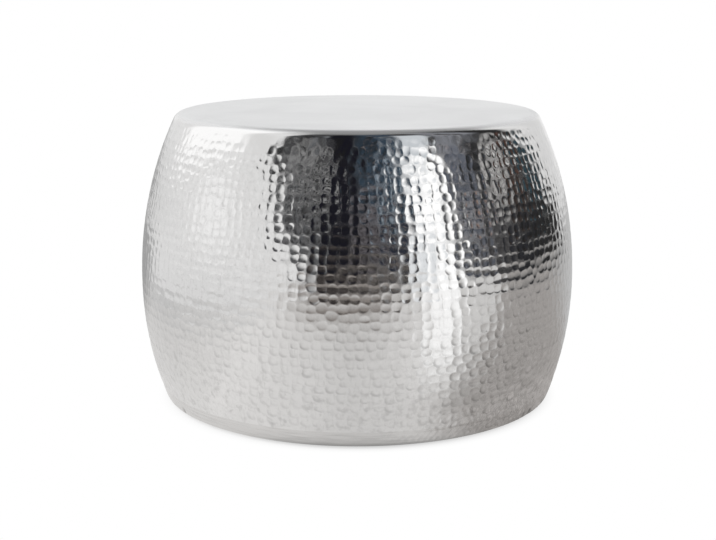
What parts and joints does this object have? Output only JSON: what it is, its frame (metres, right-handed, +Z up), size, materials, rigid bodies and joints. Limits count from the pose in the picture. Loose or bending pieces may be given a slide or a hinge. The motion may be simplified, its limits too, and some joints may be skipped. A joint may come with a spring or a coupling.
{
  "type": "drum side table",
  "caption": "Barrel-shaped drum side table of hammered polished aluminium sheet with a smooth round top and a plain band at the foot, standing on low glides.",
  "frame": {"origin": "centre of the circle the glides stand on, at floor level", "axes": "+Z up along the drum's axis, +X to the right and -Y towards the viewer of the picture"},
  "size_m": [0.6, 0.6, 0.396],
  "materials": {
    "satin_aluminium": "spun sheet, fine satin on the flat and polished over the shoulder",
    "hammered_aluminium": "hand hammered all over and polished bright",
    "polished_aluminium": "plain polished sheet",
    "mill_aluminium": "mill finish, unpolished",
    "weld_metal": "weld bead as laid, undressed",
    "glide_nylon": "moulded nylon"
  },
  "bodies": {
    "root": {"top_cap": "satin_aluminium", "hammered_wall": "hammered_aluminium", "foot_ring": "polished_aluminium", "rim_wire": "mill_aluminium", "brace_side_to_side": "mill_aluminium", "brace_front_to_back": "mill_aluminium", "brace_stitch_welds": "weld_metal", "cap_weld_bead": "weld_metal", "foot_weld_bead": "weld_metal", "seam_weld_bead": "weld_metal", "glide_back_right": "glide_nylon", "glide_back_left": "glide_nylon", "glide_front_left": "glide_nylon", "glide_front_right": "glide_nylon"}
  },
  "joints": []
}
